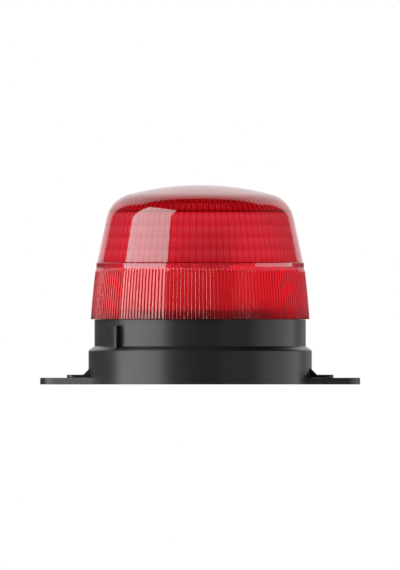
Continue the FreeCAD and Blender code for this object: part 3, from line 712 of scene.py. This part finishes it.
def makeDome():
    bm = bmesh.new()
    steps = dome["columns"] * dome["stepsPerColumn"]
    bend = corner.y + dome["cornerR"] * math.sin(math.radians(dome["draft"]))
    levels = [dome["seamZ"], dome["seamZ"] + dome["seamH"]]
    levels += [dome["seamZ"] + (bend - dome["seamZ"]) * i / 4 for i in range(1, 4)]
    levels += [bend, (bend + rowTop) / 2]
    outer = [(dome["tongueR"], tongueLow), (dome["tongueR"], dome["seamZ"])]
    outer += [(wallRadius(z, 0), z) for z in levels] + domeTop(0, 10, 14)
    spinRound(bm, outer, steps)
    count = dome["rows"] * dome["rowSteps"]
    levels = [tongueLow] + [rowLow + (rowTop - rowLow) * i / count for i in range(count)]
    inner = [(dome["tongueR"], tongueLow)] + [(wallRadius(z, dome["wall"]), z) for z in levels]
    innerVerts = spinRound(bm, inner + domeTop(dome["wall"], 12, 14), steps)
    raisePillows(innerVerts)
    innerVerts = set(innerVerts)
    for face in bm.faces:
        isInner = all(vert in innerVerts for vert in face.verts)
        face.material_index = domeLooks.index(domeLook(face.calc_center_median() / mm, isInner))
    closeUp(bm)
    keep(bm, "pillow_dome", "lens", "lens_red", 40, ["lens_dome"], domeLooks)


makeBase()
makeBand()
makeDome()


# Pale floor, with the studio round it in the world
stage = dict(floorSize=4.0, floorDark=(0.78, 0.78, 0.78), floorLight=(0.8, 0.8, 0.8), floorDrop=0.05 * mm,
             paleShare=0.75, paleLevel=0.95)


def ray(wire, kind):
    return wire.add("ShaderNodeLightPath", {}, {}, "Is %s Ray" % kind)


def makeFloor():
    bm = bmesh.new()
    bmesh.ops.create_grid(bm, x_segments=2, y_segments=2, size=stage["floorSize"] / 2,
                          matrix=Matrix.Translation((0, 0, -stage["floorDrop"])))
    mesh = bpy.data.meshes.new("floor")
    bm.to_mesh(mesh)
    bm.free()
    material, shader, wire, place = startMaterial("floor_pale", Roughness=0.9)
    feed(shader, "Base Color", blendColours(noise(place, 30, 3.0), stage["floorDark"], stage["floorLight"]))
    share = wire.maths("MAXIMUM", ray(wire, "Camera") * stage["paleShare"], ray(wire, "Transmission"))
    pale = wire.add("ShaderNodeEmission", {}, {"Color": (1, 1, 1, 1), "Strength": stage["paleLevel"]})
    seen = wire.add("ShaderNodeMixShader", {}, {0: share, 1: Wire(wire.tree, shader.outputs[0]), 2: pale})
    wire.tree.links.new(seen.socket, wire.tree.nodes["Material Output"].inputs["Surface"])
    mesh.materials.append(material)
    floor = bpy.data.objects.new("floor", mesh)
    bpy.context.scene.collection.objects.link(floor)
    floor.visible_glossy = False                 # the lamps reach below the floor in reflections
    floor.visible_shadow = False


# Brightness of the studio by azimuth: 0 is towards the camera, plus is to its right
studio = [(-180, 0.2), (-170, 0.2), (-158, 0.08), (-140, 0.06), (-90, 0.08), (-20, 0.08), (10, 0.08), (40, 0.09),
          (60, 0.1), (90, 0.12), (140, 0.12), (162, 0.12), (172, 0.2), (180, 0.2)]
roof = dict(low=0.4, high=0.8, fall=0.9)         # it darkens overhead
# Pale panel behind and above: half width, front edge and lower edge in the direction's x, y and z, level against z
backdrop = dict(halfWidth=0.6, front=0.33, blur=0.04, edgeLow=0.22, edgeHigh=0.34,
                levels=[(0.0, 0.85), (0.22, 0.88), (0.34, 1.05), (0.53, 1.25), (0.68, 1.5), (0.8, 1.3), (0.9, 1.0),
                        (1.0, 0.7)])


def makeWorld():
    world = bpy.data.worlds.new("studio")
    world.use_nodes = True
    bpy.context.scene.world = world
    wire = Wire(world.node_tree)
    direction = wire.add("ShaderNodeTexCoord", {}, {}, "Generated")
    x, y, z = [wire.add("ShaderNodeSeparateXYZ", {}, {0: direction}, axis) for axis in "XYZ"]
    azimuth = wire.maths("ARCTAN2", x, 0.0 - y)
    stops = [(angle / 360 + 0.5, value) for angle, value in studio]
    level = wire.add("ShaderNodeValToRGB", {"stops": stops}, {"Fac": azimuth / math.tau + 0.5})

    def rise(value, start, stop):
        limits = {"Value": value, "From Min": start, "From Max": stop}
        return wire.add("ShaderNodeMapRange", {"interpolation_type": "SMOOTHSTEP"}, limits)

    blur = backdrop["blur"]
    within = 1.0 - rise(wire.maths("ABSOLUTE", x, 0.0), backdrop["halfWidth"] - blur, backdrop["halfWidth"] + blur)
    behind = rise(y, backdrop["front"] - blur, backdrop["front"] + blur)
    sink = wire.maths("COSINE", azimuth * 0.5, 0.0)             # its lower edge drops towards the middle
    over = rise(z, sink * backdrop["edgeLow"], sink * backdrop["edgeHigh"])
    panel = wire.add("ShaderNodeValToRGB", {"stops": backdrop["levels"]}, {"Fac": z})
    level = level * (1.0 - roof["fall"] * rise(z, roof["low"], roof["high"]))
    level = level + within * behind * over * panel * ray(wire, "Glossy")
    white = wire.maths("MAXIMUM", ray(wire, "Camera"), ray(wire, "Transmission"))
    ground = world.node_tree.nodes["Background"]
    world.node_tree.links.new((level * (1.0 - white) + white).socket, ground.inputs["Strength"])
    ground.inputs["Color"].default_value = (1, 1, 1, 1)


lamps = {
    "softbox": dict(azimuth=-65.6, distance=1.2, low=-0.6, width=1.265, height=2.2, level=6.0, inside=False),
    "side_fill": dict(azimuth=93.0, distance=1.2, low=-0.2, width=1.4, height=0.32, level=2.8),
    "rear_fill": dict(azimuth=142.0, distance=1.2, low=-0.2, width=0.75, height=0.26, level=0.55),
    "front_fill": dict(azimuth=42.0, distance=1.2, low=-0.2, width=0.95, height=0.24, level=1.4),
}


def makeLamp(name, spec):
    lamp = bpy.data.lights.new(name, "AREA")
    lamp.shape = "RECTANGLE"
    lamp.size = spec["width"]
    lamp.size_y = spec["height"]
    lamp.energy = spec["level"] * math.pi * spec["width"] * spec["height"]
    angle = math.radians(spec["azimuth"])
    away = Vector((math.sin(angle), -math.cos(angle), 0))
    light = bpy.data.objects.new(name, lamp)
    bpy.context.scene.collection.objects.link(light)
    light.location = away * spec["distance"] + Vector((0, 0, spec["low"] + spec["height"] / 2))
    light.rotation_euler = away.to_track_quat("Z", "Y").to_euler()
    light.visible_camera = False
    light.visible_transmission = spec.get("inside", True)       # the softbox lights the lens from outside only


# Straight-on view: 0.55 mm to a pixel over 570 pixels
view = dict(x=-0.08, z=54.7, distance=1000.0, scale=313.5)


def makeCamera():
    lens = bpy.data.cameras.new("camera")
    lens.type = "ORTHO"
    lens.ortho_scale = view["scale"] * mm
    camera = bpy.data.objects.new("camera", lens)
    bpy.context.scene.collection.objects.link(camera)
    camera.location = (view["x"] * mm, -view["distance"] * mm, view["z"] * mm)
    camera.rotation_euler = (math.radians(90), 0, 0)
    bpy.context.scene.camera = camera


makeFloor()
makeWorld()
for name, spec in lamps.items():
    makeLamp(name, spec)
makeCamera()
bpy.context.scene.view_settings.view_transform = "Standard"
print("stage, lights and camera in place")
